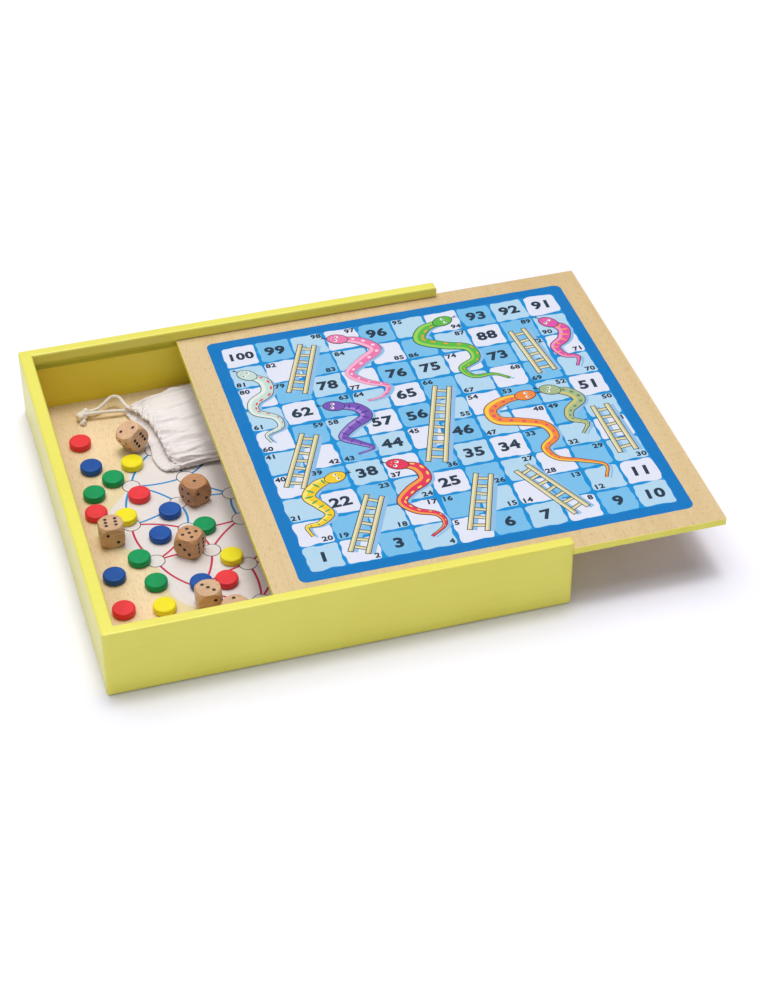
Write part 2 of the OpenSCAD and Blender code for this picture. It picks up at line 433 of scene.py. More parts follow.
def to_print(name, holders, high, material, base):
    """Makes flat curves or text one thin solid: a mesh first, then its place."""
    take(*holders)
    bpy.ops.object.convert(target="MESH")
    bpy.ops.object.transform_apply(location=True, rotation=True, scale=True)
    bpy.ops.object.join()
    piece = bpy.context.active_object
    piece.name = piece.data.name = name
    face_outwards(piece, weld=1e-4)
    piece.data.transform(
        Matrix.Translation((0, 0, base * MM))
        @ Matrix.Diagonal((MM, MM, MM, 1))
        @ Matrix.Translation((0, 0, (high - INK_SINK) / 2))
        @ Matrix.Diagonal((1, 1, (high + INK_SINK) / 2, 1))
    )
    piece.data.materials.clear()
    piece.data.materials.append(material)
    return piece


def print_shapes(name, shapes, high, material, base):
    """shapes are groups of outlines. Within a group, one outline inside another is a hole."""
    holders = []
    for outlines in shapes:
        curve = bpy.data.curves.new(name, "CURVE")
        curve.dimensions = "2D"
        curve.fill_mode = "BOTH"
        curve.extrude = 1
        for outline in outlines:
            spline = curve.splines.new("POLY")
            spline.points.add(len(outline) - 1)
            spline.points.foreach_set("co", [c for p in outline for c in (p[0], p[1], 0, 1)])
            spline.use_cyclic_u = True
        holders.append(new_piece(name, curve))
    return to_print(name, holders, high, material, base)


# The built-in font's scale, wide and high, for a figure as tall as asked
FONT_WIDE, FONT_HIGH = 1.5, 1.36


def print_numbers(name, entries, high, material, base):
    """entries are number, place and height of a figure in millimetres, and its tilt."""
    holders = []
    for number, place, tall, tilt in entries:
        text = bpy.data.curves.new(name, "FONT")
        text.body = str(number)
        text.align_x, text.align_y = "CENTER", "CENTER"
        text.offset = 0.042  # bolder strokes
        text.extrude = 1
        text.resolution_u = 3
        text.space_character = 1.08
        holder = new_piece(name, text)
        holder.location = (place[0], place[1], 0)
        holder.rotation_euler.z = tilt
        holder.scale = (tall * FONT_WIDE, tall * FONT_HIGH, 1)
        holders.append(holder)
    return to_print(name, holders, high, material, base)


# ---- the ladder game on the lid

BOARD_LEFT, BOARD_NEAR, BOARD_SIDE = -21.9, -129.7, 261.0
BORDER = 8.0
CELL = (BOARD_SIDE - 2 * BORDER) / 10
GAP = 2.0
# Heights of the numbers: in the middle of a square, the same with three figures, and in a corner
MIDDLE_FIGURE, LONG_FIGURE, CORNER_FIGURE = 9.1, 7.8, 4.5
FIGURE_ROOM = 5.4  # a number stands in the middle where this much round it is free
RAIL_FOOT, RAIL_HEAD = 5.6, 4.9  # half of the space between a ladder's rails, at foot and head
RAIL_WIDE, RUNG_WIDE = 2.7, 2.1
LADDERS = [
    ((1.42, 0.42), (2.42, 2.5)), ((7.45, 0.42), (6.5, 2.5)), ((4.62, 0.4), (5.45, 2.55)),
    ((0.5, 3.4), (1.45, 5.5)), ((4.42, 3.4), (5.55, 6.55)), ((9.5, 2.4), (9.45, 4.5)),
    ((8.6, 6.4), (8.4, 8.5)), ((1.6, 7.4), (2.45, 9.5)),
]
# Each snake: name, its body, belly and mark colours, the kind of mark, and its route from the head
SNAKES = [
    ("pink", "F07CAE", "F9B7D2", "FBD6E6", "spots",
     [(3.42, 9.5), (3.95, 9.25), (4.25, 8.75), (3.7, 8.3), (3.25, 7.85), (3.6, 7.35), (4.1, 7.0),
      (3.85, 6.6), (3.4, 6.5)]),
    ("green", "5DBB46", "9AD65C", "F2A03C", "dashes",
     [(6.4, 9.5), (5.85, 9.3), (5.6, 8.8), (6.15, 8.4), (6.8, 8.1), (6.85, 7.55), (6.35, 7.2),
      (6.55, 6.75), (7.1, 6.7), (7.5, 6.4)]),
    ("grey", "C9DFD6", "E7EFE4", "E5536B", "dashes",
     [(0.52, 8.52), (0.85, 8.15), (0.8, 7.65), (0.35, 7.3), (0.3, 6.85), (0.75, 6.5), (0.8, 6.05),
      (0.35, 5.8), (0.4, 5.45)]),
    ("orange", "F58A3C", "FBD04A", "E8506E", "spots",
     [(7.55, 5.5), (7.0, 5.45), (6.5, 5.15), (6.55, 4.65), (7.15, 4.4), (7.7, 4.1), (7.8, 3.55),
      (7.4, 3.15), (7.55, 2.65), (8.15, 2.35), (8.7, 2.0), (8.55, 1.5)]),
    ("purple", "7A57B8", "A888D8", "5B3A9A", "bands",
     [(2.5, 6.5), (3.0, 6.3), (3.15, 5.85), (2.65, 5.5), (2.3, 5.1), (2.65, 4.75), (2.95, 4.45),
      (2.5, 4.3)]),
    ("red", "E8395C", "F5A44A", "FBD65A", "dashes",
     [(3.45, 3.55), (3.85, 3.3), (3.9, 2.8), (3.4, 2.45), (3.05, 2.05), (3.3, 1.6), (3.8, 1.3),
      (3.85, 0.85), (3.4, 0.5)]),
    ("yellow", "F7CE2C", "FCE77A", "3FA65A", "bands",
     [(1.55, 3.5), (1.1, 3.35), (0.75, 2.95), (0.95, 2.5), (1.1, 2.1), (0.75, 1.8), (0.4, 1.75),
      (0.45, 1.35)]),
    ("olive", "A9BC8E", "D3C77A", "6F8A66", "spots",
     [(8.45, 5.52), (8.85, 5.3), (9.0, 4.9), (8.6, 4.55), (8.5, 4.15), (8.85, 3.85), (8.6, 3.45)]),
    ("magenta", "E357A8", "F49AC9", "F7A24B", "bands",
     [(9.45, 8.55), (9.7, 8.2), (9.55, 7.75), (9.2, 7.45), (9.3, 7.0), (9.65, 6.8), (9.5, 6.4)]),
]
SNAKE_HALF = 4.1


def on_board(cell):
    """A place on the lid from cells counted along X and Y from the near left square."""
    return Vector((BOARD_LEFT + BORDER + cell[0] * CELL, BOARD_NEAR + BORDER + cell[1] * CELL))


def soft_square(centre, width, depth, radius, wobble=0.75, steps=5):
    """A square with rounded corners and hand-drawn, slightly uneven sides."""
    outline = []
    for quarter, (sx, sy) in enumerate(((1, 1), (-1, 1), (-1, -1), (1, -1))):
        hub = Vector((sx * (width / 2 - radius), sy * (depth / 2 - radius)))
        for k in range(steps + 1):
            a = (quarter + k / steps) * math.pi / 2
            outline.append(hub + radius * Vector((math.cos(a), math.sin(a))))
    full = []
    for a, b in zip(outline, outline[1:] + outline[:1]):
        parts = max(1, round((b - a).length / 2.5))
        full += [a.lerp(b, k / parts) for k in range(parts)]
    made = []
    for point in full:
        spot = Vector(centre) + point
        push = unrest(spot.x * 0.16, spot.y * 0.16, 3.7)
        made.append(spot + point.normalized() * push * wobble * 2)
    return made


def ladder_shapes(foot, head):
    """Rails and rungs of one ladder, as line and width, a little splayed at the foot."""
    foot, head = on_board(foot), on_board(head)
    along = (head - foot).normalized()
    across = left_of(along)
    rails = [
        (foot + across * side * RAIL_FOOT, head + across * side * RAIL_HEAD, RAIL_WIDE)
        for side in (1, -1)
    ]
    rungs = []
    count = max(3, round((head - foot).length / 8.2))
    for k in range(count):
        share = (k + 0.6) / (count + 0.2)
        middle = foot.lerp(head, share)
        reach = across * (RAIL_FOOT - 0.7 * share - 0.9)
        tilt = along * 0.35 * math.sin(2.1 * k + foot.x)
        rungs.append((middle - reach - tilt, middle + reach + tilt, RUNG_WIDE))
    return rails, rungs


def snake_width(share):
    """Half of the body's width at a share of its length: a narrow neck and a long thin tail."""
    neck = min(1.0, 0.62 + share * 3.2)
    return SNAKE_HALF * neck * max(0.1, 1 - max(0.0, share - 0.3) / 0.7) ** 0.75


def print_board():
    """The printed side of the lid, from the ground up. Prints that overlap differ in height."""
    centre = on_board((5, 5))
    squares = [(row, column) for row in range(10) for column in range(10)]
    ink = {
        name: printed_ink("ink_" + name, code)
        for name, code in {
            "border": "0079C2", "gaps": "0C90D6", "white": "E6E8F6", "pale": "B7D9EE",
            "sky": "7AC0EA", "shade": "93BFE6", "navy": "24384C", "straw": "E9E0B6",
            "straw_side": "C9BC84", "line": "33373C", "eye": "FBFBF6",
        }.items()
    }
    pieces = []

    def layer(name, shapes, high, colour):
        pieces.append(print_shapes(name, shapes, high, ink[colour], LID_TOP))

    field = CELL * 10 - 1
    layer("board_border", [[soft_square(centre, BOARD_SIDE, BOARD_SIDE, 5, 0.1)]], 0.03, "border")
    layer("board_gaps", [[soft_square(centre, field, field, 4, 0.2)]], 0.05, "gaps")
    tints = {"white": [], "pale": [], "sky": []}
    for row, column in squares:
        tint = ("pale", "white", "sky")[(column + row + row // 2) % 3]
        middle = on_board((column + 0.5, row + 0.5))
        tints[tint].append(soft_square(middle, CELL - GAP, CELL - GAP, 2.1))
    for tint, outlines in tints.items():
        layer(f"board_{tint}_squares", [outlines], 0.07, tint)

    crowd = []  # what the ladders and snakes cover, as places and radii
    ladder = {bar: {"line": [], "straw": [], "straw_side": []} for bar in ("rung", "rail")}
    shade, snake_shade = [], []
    for foot, head in LADDERS:
        rails, rungs = ladder_shapes(foot, head)
        shade += [[shifted(strip(a, b, w + 1.0), (2.6, -1.4))] for a, b, w in rails]
        for bars, inks in ((rungs, ladder["rung"]), (rails, ladder["rail"])):
            for a, b, w in bars:
                along = (b - a).normalized() * 0.55
                inks["line"].append([strip(a - along, b + along, w + 1.1)])
                inks["straw"].append([strip(a, b, w)])
                edge = -left_of(along).normalized() * w * 0.28
                inks["straw_side"].append([strip(a + edge, b + edge, w * 0.3)])
        crowd += [(on_board(foot).lerp(on_board(head), k / 12), 7.5) for k in range(13)]

    snakes = []
    for *looks, route in SNAKES:
        line = smooth_line([on_board(p) for p in route], 10)
        crowd += [(p, snake_width(i / (len(line) - 1)) + 0.8) for i, p in enumerate(line)]
        crowd.append((line[0], 7.0))
        snake_shade.append([shifted(ribbon(line, lambda s: snake_width(s) * 0.9), (2.5, -1.6))])
        snakes.append((*looks, line))
    layer("ladder_shading", shade, 0.085, "shade")
    layer("snake_shading", snake_shade, 0.095, "shade")

    def room(place):
        return min((place - p).length - r for p, r in crowd)

    numbers, rng = [], random.Random(4)
    for row, column in squares:
        number = 10 * row + (column + 1 if row % 2 == 0 else 10 - column)
        place = on_board((column + 0.5, row + 0.5))
        tilt = rng.uniform(-0.07, 0.07)
        if room(place) > FIGURE_ROOM:
            tall = MIDDLE_FIGURE if number < 100 else LONG_FIGURE
            place += Vector((0, -0.3))
        else:
            tall = CORNER_FIGURE
            aside = 7 if number > 9 else 8.2
            corners = [place + Vector((sx * aside, sy * 8)) for sx in (1, -1) for sy in (-1, 1)]
            place = max(corners, key=room)
        numbers.append((number, place, tall, tilt))
    pieces.append(print_numbers("board_numbers", numbers, 0.11, ink["navy"], LID_TOP))

    for level, (bar, inks) in enumerate(ladder.items()):
        for step, (colour, shapes) in enumerate(inks.items()):
            layer(f"ladder_{bar}_{colour}", shapes, 0.12 + 0.03 * level + 0.01 * step, colour)

    pieces += [print_snake(*snake, ink) for snake in snakes]
    for piece in pieces:
        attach(piece, "lid")


def print_snake(name, body, belly, mark, kind, line, ink):
    """One snake seen from above: outline, body, belly stripe, marks, head, eyes and tongue."""
    facing = (line[0] - line[3]).normalized()
    turn = math.atan2(facing.y, facing.x)
    nose = line[0] + facing * 2.0
    head = disc(nose, 7.2, 5.0, turn)
    last = len(line) - 1

    def layer(part, shapes, high, material):
        return print_shapes(f"snake_{name}_{part}", shapes, high, material, LID_TOP)

    body_ink, belly_ink, mark_ink = (
        printed_ink(f"ink_snake_{name}_{part}", code)
        for part, code in (("body", body), ("belly", belly), ("marks", mark))
    )
    across = left_of(facing)
    tip = nose + facing * 11.5
    tongue = [
        strip(nose + facing * 6.3, tip - facing * 1.8, 0.7),
        strip(tip - facing * 2.0, tip + across * 1.1, 0.6),
        strip(tip - facing * 2.0, tip - across * 1.1, 0.6),
    ]
    parts = [
        layer("tongue", [[t] for t in tongue], 0.185, ink["line"]),
        layer("outline", [[ribbon(line, lambda s: snake_width(s) + 0.5)]], 0.19, ink["line"]),
        layer("body", [[ribbon(line, snake_width)]], 0.2, body_ink),
        layer("head_outline", [[disc(nose, 7.75, 5.55, turn)]], 0.205, ink["line"]),
        layer("head", [[head]], 0.215, body_ink),
    ]
    sided = [
        point - left_of(heading(line, i)) * snake_width(i / last) * 0.58
        for i, point in enumerate(line[3:-2], 3)
    ]
    stripe = ribbon(sided, lambda s: snake_width(0.05 + 0.9 * s) * 0.3)
    parts.append(layer("belly", [[stripe]], 0.203, belly_ink))
    marks = []
    for i in range(6, last - 4, 5):
        ahead = heading(line, i)
        out = left_of(ahead)
        wide = snake_width(i / last)
        angle = math.atan2(ahead.y, ahead.x)
        if kind == "spots":
            marks.append([disc(line[i] + out * wide * 0.3, wide * 0.36, wide * 0.3, angle, 14)])
        elif kind == "dashes":
            marks.append([disc(line[i] + out * wide * 0.6, wide * 0.5, wide * 0.2, angle, 12)])
        else:
            marks.append([disc(line[i], wide * 0.2, wide * 0.72, angle, 14)])
    marks += [[disc(nose + across * sy * 1.2 + facing * 4.2, 0.4, points=10)] for sy in (1, -1)]
    parts.append(layer("marks", marks, 0.23, mark_ink))
    eyes = [disc(nose + across * sy * 2.1 + facing * 1.0, 1.35, points=18) for sy in (1, -1)]
    pupils = [disc(nose + across * sy * 2.1 + facing * 1.4, 0.7, points=14) for sy in (1, -1)]
    parts.append(layer("eyes", [eyes], 0.24, ink["eye"]))
    parts.append(layer("pupils", [pupils], 0.25, ink["line"]))
    take(*parts)
    bpy.ops.object.join()
    snake = bpy.context.active_object
    snake.name = snake.data.name = "snake_" + name
    return snake


print_board()

# ---- the printed floor

INNER_RING, MIDDLE_RING, OUTER_RING = 36.0, 71.0, 104.0
RING_EDGE, RING_FACE = 6.2, 5.65  # radii of the small rings, with and without their dark edge
FLOOR_INK = 0.55  # its roughness: duller than the lid's


def from_wheel(radius, degrees):
    angle = math.radians(degrees)
    return Vector((radius * math.cos(angle), radius * math.sin(angle)))


def scallop(mean, swing, points=240):
    """A round field with eight soft points."""
    outline = []
    for k in range(points):
        degrees = 360 * k / points
        outline.append(from_wheel(mean + swing * math.cos(math.radians(8 * degrees)), degrees))
    return outline


def bowed(start, end, bow, width=1.5, steps=16):
    """A drawn line that swings bow millimetres to its left."""
    across = left_of((end - start).normalized())
    line = [
        start.lerp(end, k / steps) + across * bow * 4 * (k / steps) * (1 - k / steps)
        for k in range(steps + 1)
    ]
    return ribbon(line, lambda share: width / 2)


def print_floor():
    """A race between rings round a wheel, printed on the floor in four colours."""
    pieces = []

    def layer(name, shapes, high, ink, code):
        material = printed_ink("ink_" + ink, code, FLOOR_INK)
        pieces.append(print_shapes("floor_" + name, shapes, high, material, FLOOR_Z))

    layer("band", [[scallop(121, 9)]], 0.03, "band", "EBDBAE")
    layer("field", [[scallop(114, 8)]], 0.05, "field", "EBE3DF")
    sides = {
        "blue": ("2A93CF", 90), "red": ("CC3A5A", 180),
        "green": ("2A9A50", 270), "orange": ("E8A050", 0),
    }
    rings = []
    for level, (name, (code, first)) in enumerate(sides.items()):
        links = []
        for k in range(4):
            turn = first + 22.5 * k
            outer = from_wheel(OUTER_RING, turn)
            middle = from_wheel(MIDDLE_RING, turn + 11.25)
            links += [
                [bowed(outer, from_wheel(OUTER_RING, turn + 22.5), -3.5)],
                [bowed(outer, middle, 2.5)],
                [bowed(middle, from_wheel(OUTER_RING, turn + 22.5), 2.5)],
                [bowed(middle, from_wheel(MIDDLE_RING, turn + 33.75), 3)],
            ]
            rings += [outer, middle]
            if k % 2 == 0:
                inner = from_wheel(INNER_RING, turn + 22.5)
                links += [
                    [bowed(middle, inner, -2)],
                    [bowed(from_wheel(MIDDLE_RING, turn + 33.75), inner, 2)],
                    [bowed(inner, from_wheel(INNER_RING, turn + 67.5), -2.5)],
                ]
                rings.append(inner)
        layer(name + "_lines", links, 0.065 + 0.01 * level, name, code)
    layer("ring_edges", [[disc(ring, RING_EDGE)] for ring in rings], 0.11, "edge", "4A3E3A")
    layer("rings", [[disc(ring, RING_FACE)] for ring in rings], 0.12, "ring", "EBE3DF")
    for piece in pieces:
        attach(piece, "box")


print_floor()

# ---- dice

DIE_SIDE, DIE_BALL, PIP_PITCH, PIP_BALL, PIP_HEIGHT = 16.0, 22.4, 3.2, 1.69, 1.19
PIPS = {
    1: [(0, 0)],
    2: [(1, 1), (-1, -1)],
    3: [(0, 0), (1, 1), (-1, -1)],
    4: [(1, 1), (1, -1), (-1, 1), (-1, -1)],
    5: [(0, 0), (1, 1), (1, -1), (-1, 1), (-1, -1)],
    6: [(1, 1), (1, -1), (-1, 1), (-1, -1), (0, 1), (0, -1)],
}
# The turn that brings each number to the top
TO_TOP = {
    1: (math.pi, 0, 0), 2: (0, math.pi / 2, 0), 3: (math.pi / 2, 0, 0),
    4: (-math.pi / 2, 0, 0), 5: (0, -math.pi / 2, 0), 6: (0, 0, 0),
}


def turned(angles):
    x, y, z = angles
    return Matrix.Rotation(z, 4, "Z") @ Matrix.Rotation(y, 4, "Y") @ Matrix.Rotation(x, 4, "X")


def dice_wood(name, light, deep):
    """Waxed hardwood with fine straight grain, its tone varying along the grain and darker in
    brown flecks.
    """
    f = Finish(name, IOR=1.46, Coat_Weight=0.2, Coat_Roughness=0.22)
    place = f.place()
    bands = f.speckle(f.stretch(place, (70, 700, 700), turn=(0.2, 0.5, 0.9)), 1, 4, 0.6, 0.3)
    flecks = f.speckle(f.stretch(place, (500, 2600, 2600), turn=(0.2, 0.5, 0.9)), 1, 2)
    cloud = f.speckle(place, 120, 3)
    fleck = flecks.ramp(0.58, 0.68)
    colour = f.mix((bands * 0.65 + cloud * 0.35).ramp(0.35, 0.66), tone(light), tone(deep))
    colour = f.mix(fleck * 0.35, colour, tone("7A4E2C"))
    f.feed(
        Base_Color=colour,
        Roughness=0.36 + 0.14 * bands + 0.1 * fleck,
        Normal=f.relief(bands * 0.6 - fleck * 0.4, 0.00005, 0.5),
    )
    return f.material


def pip_paint():
    f = Finish("pip_paint", IOR=1.48)
    place = f.place()
    grit = f.speckle(place, 1600, 2)
    f.feed(
        Base_Color=f.mix(grit, tone("17130F"), tone("2A221C")),
        Roughness=0.35 + 0.2 * grit,
        Normal=f.relief(grit, 0.00004, 0.4),
    )
    return f.material


def make_die():
    """One die, in millimetres about its own centre: a tumbled cube with drilled, painted pips."""
    bpy.ops.mesh.primitive_uv_sphere_add(segments=64, ring_count=32, radius=DIE_BALL / 2)
    ball = bpy.context.active_object
    bpy.ops.mesh.primitive_cube_add(size=DIE_SIDE)
    die = bpy.context.active_object
    round_off = die.modifiers.new("round_off", "BOOLEAN")
    round_off.operation, round_off.object, round_off.solver = "INTERSECT", ball, "EXACT"
    clay = die.modifiers.new("clay", "REMESH")
    clay.mode, clay.voxel_size = "VOXEL", 0.3
    tumble = die.modifiers.new("tumble", "SMOOTH")
    tumble.factor, tumble.iterations = 0.5, 7
    settle(die)

    drills = []
    for number, pips in PIPS.items():
        for x, y in pips:
            bpy.ops.mesh.primitive_uv_sphere_add(segments=20, ring_count=12, radius=PIP_BALL)
            drill = bpy.context.active_object
            place = Matrix.Translation((x * PIP_PITCH, y * PIP_PITCH, DIE_SIDE / 2 + PIP_HEIGHT))
            drill.data.transform(turned(TO_TOP[number]).inverted() @ place)
            drills.append(drill)
    take(*drills)
    bpy.ops.object.join()
    drill = bpy.context.active_object
    wood, paint = dice_wood("dice_wood", "D9AE86", "C89565"), pip_paint()
    for part in (die, drill):
        part.data.materials.append(wood)
        part.data.materials.append(paint)
    drill.data.polygons.foreach_set("material_index", [1] * len(drill.data.polygons))
    bore = die.modifiers.new("bore", "BOOLEAN")
    bore.operation, bore.object, bore.solver = "DIFFERENCE", drill, "EXACT"
    settle(die)
    bpy.ops.object.shade_smooth_by_angle(angle=math.radians(32))
    for spent in (ball, drill):
        bpy.data.objects.remove(spent)
    return die


def at_share(across, deep):
    """A place for a flat die's middle, from hundredths of the floor's width and depth."""
    return (
        -HALF_X + HALF_X / 50 * across, -HALF_Y + HALF_Y / 50 * deep, FLOOR_Z + DIE_SIDE / 2
    )


def lying(number, degrees):
    """The turn that brings a number to the top and then swings the die round."""
    return turned((0, 0, math.radians(degrees))) @ turned(TO_TOP[number])


DICE_TONES = {
    "pale": ("E6BD97", "D8AA82"),
    "light": ("D9B48E", "C99E76"),
    "brown": ("C28A5C", "A97446"),
    "warm": ("D0A072", "BC8656"),
}
# How the first die leans on the bag
LEAN = (
    turned((0, 0, math.radians(197)))
    @ turned((0, math.radians(26), 0))
    @ turned((0, 0, math.radians(106)))
)
# Each die: its middle in millimetres, the turn that lays it there and the tone of its wood
DICE = {
    "die_1": ((-86.5915, 79.5, 14.9265), LEAN @ turned(TO_TOP[2]), "pale"),
    "die_2": (at_share(29.6, 55), lying(1, 115), "brown"),
    "die_3": (at_share(24.3, 37), lying(5, 142), "warm"),
    "die_4": (at_share(7.7, 45.8), lying(6, 88), "light"),
    "die_5": (at_share(24.2, 17.7), lying(3, 88), "light"),
    "die_6": (at_share(28.8, 11.1), lying(2, 42), "light"),
}


def lay_dice():
    master = make_die()
    woods = {name: dice_wood("dice_" + name, *tones) for name, tones in DICE_TONES.items()}
    for name, (place, turn, wood) in DICE.items():
        die = new_piece("wooden_" + name, master.data.copy())
        die.data.name = "wooden_" + name
        die.data.transform(Matrix.Diagonal((MM, MM, MM, 1)) @ Matrix.Translation(place) @ turn)
        die.data.materials[0] = woods[wood]
        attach(die, name)
        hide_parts(name)
    plain = master.data.materials[0]
    bpy.data.objects.remove(master)
    bpy.data.materials.remove(plain)


lay_dice()

# ---- cotton bag

EXIT = Vector((-80.09, 118, 4))  # where the drawstring leaves the hem, at the floor's height


def cotton(name, light, deep, threads, crinkle):
    """Unbleached cotton in its own weave. UV runs in millimetres across and along the cloth,
    threads is the weave's fineness and crinkle how strong its small creases are."""
    f = Finish(name, IOR=1.4, Sheen_Weight=0.35, Sheen_Roughness=0.5)
    weave = f.node("UVMap", {"uv_map": "threads"})
    u, v = f.axes(weave)[:2]
    slub = f.speckle(f.stretch(weave, (0.9, 0.12, 1)), 1, 3, 0.6)
    slub_2 = f.speckle(f.stretch(weave, (0.12, 0.9, 1), shift=(7, 3, 0)), 1, 3, 0.6)
    warp = abs((u * threads * math.pi + slub * 2).sine())
    weft = abs((v * threads * math.pi + slub_2 * 2).sine())
    cloud = f.speckle(f.place(), 60, 3)
    fuzz = f.speckle(f.place(), 2600, 2)
    height = warp * 0.35 + weft * 0.35 + fuzz * 0.3
    crimp = f.speckle(f.stretch(weave, (0.5, 0.06, 1), shift=(3, 9, 0)), 1, 2, 0.5, 0.4)
    # The deep tone falls partly at random and partly as painted shade in the low parts of the
    # weave.
    share = (cloud * 0.4 + slub * 0.3 + slub_2 * 0.3).ramp(0.3, 0.7) * 0.7 + (1 - height) * 0.3
    f.feed(
        Base_Color=f.mix(share, tone(light), tone(deep)),
        Roughness=0.78 + 0.15 * fuzz,
        Normal=f.relief(height + crimp * crinkle, 0.00018, 0.55),
    )
    return f.material


def loft(name, rings, uv_size, caps=False):
    """A mesh through closed rings of places in millimetres. Its UV map runs over uv_size,
    round the ring and along the rings."""
    count, last = len(rings[0]), len(rings) - 1
    faces, marks = [], []
    wide, long = uv_size
    for i in range(last):
        for k in range(count):
            n = (k + 1) % count
            faces.append((i * count + k, i * count + n, (i + 1) * count + n, (i + 1) * count + k))
            for a, b in ((k, i), (k + 1, i), (k + 1, i + 1), (k, i + 1)):
                marks.append((a / count * wide, b / last * long))
    if caps:
        faces += [tuple(reversed(range(count))), tuple(range(last * count, (last + 1) * count))]
        marks += [(0.0, 0.0)] * (2 * count)
    mesh = bpy.data.meshes.new(name)
    mesh.from_pydata([Vector(p) * MM for ring in rings for p in ring], [], faces)
    layer = mesh.uv_layers.new(name="threads")
    layer.data.foreach_set("uv", [c for mark in marks for c in mark])
    mesh.update()
    return new_piece(name, mesh)


def smooth_loop(points, count):
    """A closed curve through points, as count places evenly shared between them."""
    total = len(points)
    made = []
    for k in range(count):
        share = k / count * total
        first = int(share)
        four = (Vector(points[(first + j) % total]) for j in (-1, 0, 1, 2))
        made.append(curve_place(*four, share - first))
    return made


# The mouth from the cord round: the upper hem to the front fold, then back under it
BAG_MOUTH = [
    (-83.0, 119.4, 9.8), (-80.4, 115.4, 12.2), (-77.4, 109.4, 13.2), (-74.4, 102.4, 13.6),
    (-71.8, 96, 13.7), (-70.1, 88.4, 13.7), (-69.0, 81.2, 13.6), (-68.4, 73.8, 13.3),
    (-68.0, 66.2, 12.8), (-67.2, 59, 12.0), (-65.4, 53, 10.6), (-63.0, 49.2, 8.6),
    (-64.5, 47.2, 6.4), (-69.5, 47.0, 5.1), (-73.0, 50.5, 4.9), (-75.0, 56, 4.9),
    (-76.2, 63.6, 4.9), (-75.5, 71.9, 4.9), (-75.8, 80, 4.9), (-76.6, 88, 4.9),
    (-78.0, 96, 4.9), (-80.0, 104, 4.9), (-82.6, 111.6, 5.0), (-84.2, 117.6, 6.4),
]
# Cross-sections further in: back edge, front edge and height
BAG_SECTIONS = [
    ((-71.5, 126.2), (-56.0, 47.8), 14.2),
    ((-52.0, 131.2), (-38.0, 48.2), 14.4),
    ((-22.0, 136.6), (-18.0, 48.6), 14.2),
    ((4.0, 137.4), (4.0, 49.0), 12.6),
    ((17.0, 136.4), (17.0, 50.0), 9.0),
    ((21.5, 135.4), (21.5, 51.2), 5.6),
]
BAG_ROUND = 288  # places round the bag
BAG_LONG = 100.0  # millimetres of cloth from the mouth to the closed end, rounded
BAG_LOW = 4.95  # the lowest that its outer face comes, above the floor's prints
HEM, HEM_CLOTH, CLOTH = 9.0, 1.3, 0.5  # width of the hem, and the cloth's thickness in and past it
TEETH, FOLDS = 42, 17  # gathers at the very mouth, and the longer folds behind them


def bag_section(back, front, high):
    """One cross-section: over the top from the back edge to the front one, and back below."""
    edge = 7.2 if high > 13 else 6.0 if high > 7 else 5.0
    ring = []
    for k in range(24):
        share = k / 12 if k <= 12 else 2 - k / 12
        across = (1 - math.cos(share * math.pi)) / 2
        x, y = (a + (b - a) * across for a, b in zip(back, front))
        bulge = (1 - abs(2 * across - 1) ** 2.6) ** (1 / 2.2)
        ring.append((x, y, edge + ((high - edge) if k <= 12 else -(edge - 4.6)) * bulge))
    return ring


def cloth_push(along, share, edge):
    """How far the cloth stands out, in millimetres: along is the way from the mouth, share the
    way round, and edge is 0 at the bag's side folds and 1 away from them."""
    wander = unrest(along * 0.03, share * 9, 1.0)
    uneven = 0.8 + 1.1 * unrest(share * 26, 0.0, 3.0)
    teeth = math.sin(share * math.tau * TEETH + wander * 6) * math.exp(-along / 8) * 1.25 * uneven
    folds = math.sin(share * math.tau * FOLDS + wander * 9 + 0.6) * math.exp(-along / 34) * 1.1
    casing = math.exp(-((along - HEM / 2) / 3.2) ** 2) * 1.1
    creases = unrest(along * 0.035, share * 24, 5.0) * 2.2
    creases -= 1.5 * max(0.0, 0.14 - abs(unrest(along * 0.03 + 4, share * 16, 9.0))) / 0.14
    crumple = unrest(along * 0.16, share * 60, 2.0) * 0.45
    wrinkles = unrest(along * 0.09, share * 46, 7.0) * 1.5 * math.exp(-along / 32)
    gathers = (teeth + folds + casing) * (0.35 + 0.65 * edge)
    return gathers + (creases + crumple + wrinkles) * min(1.0, 0.25 + along / 22)


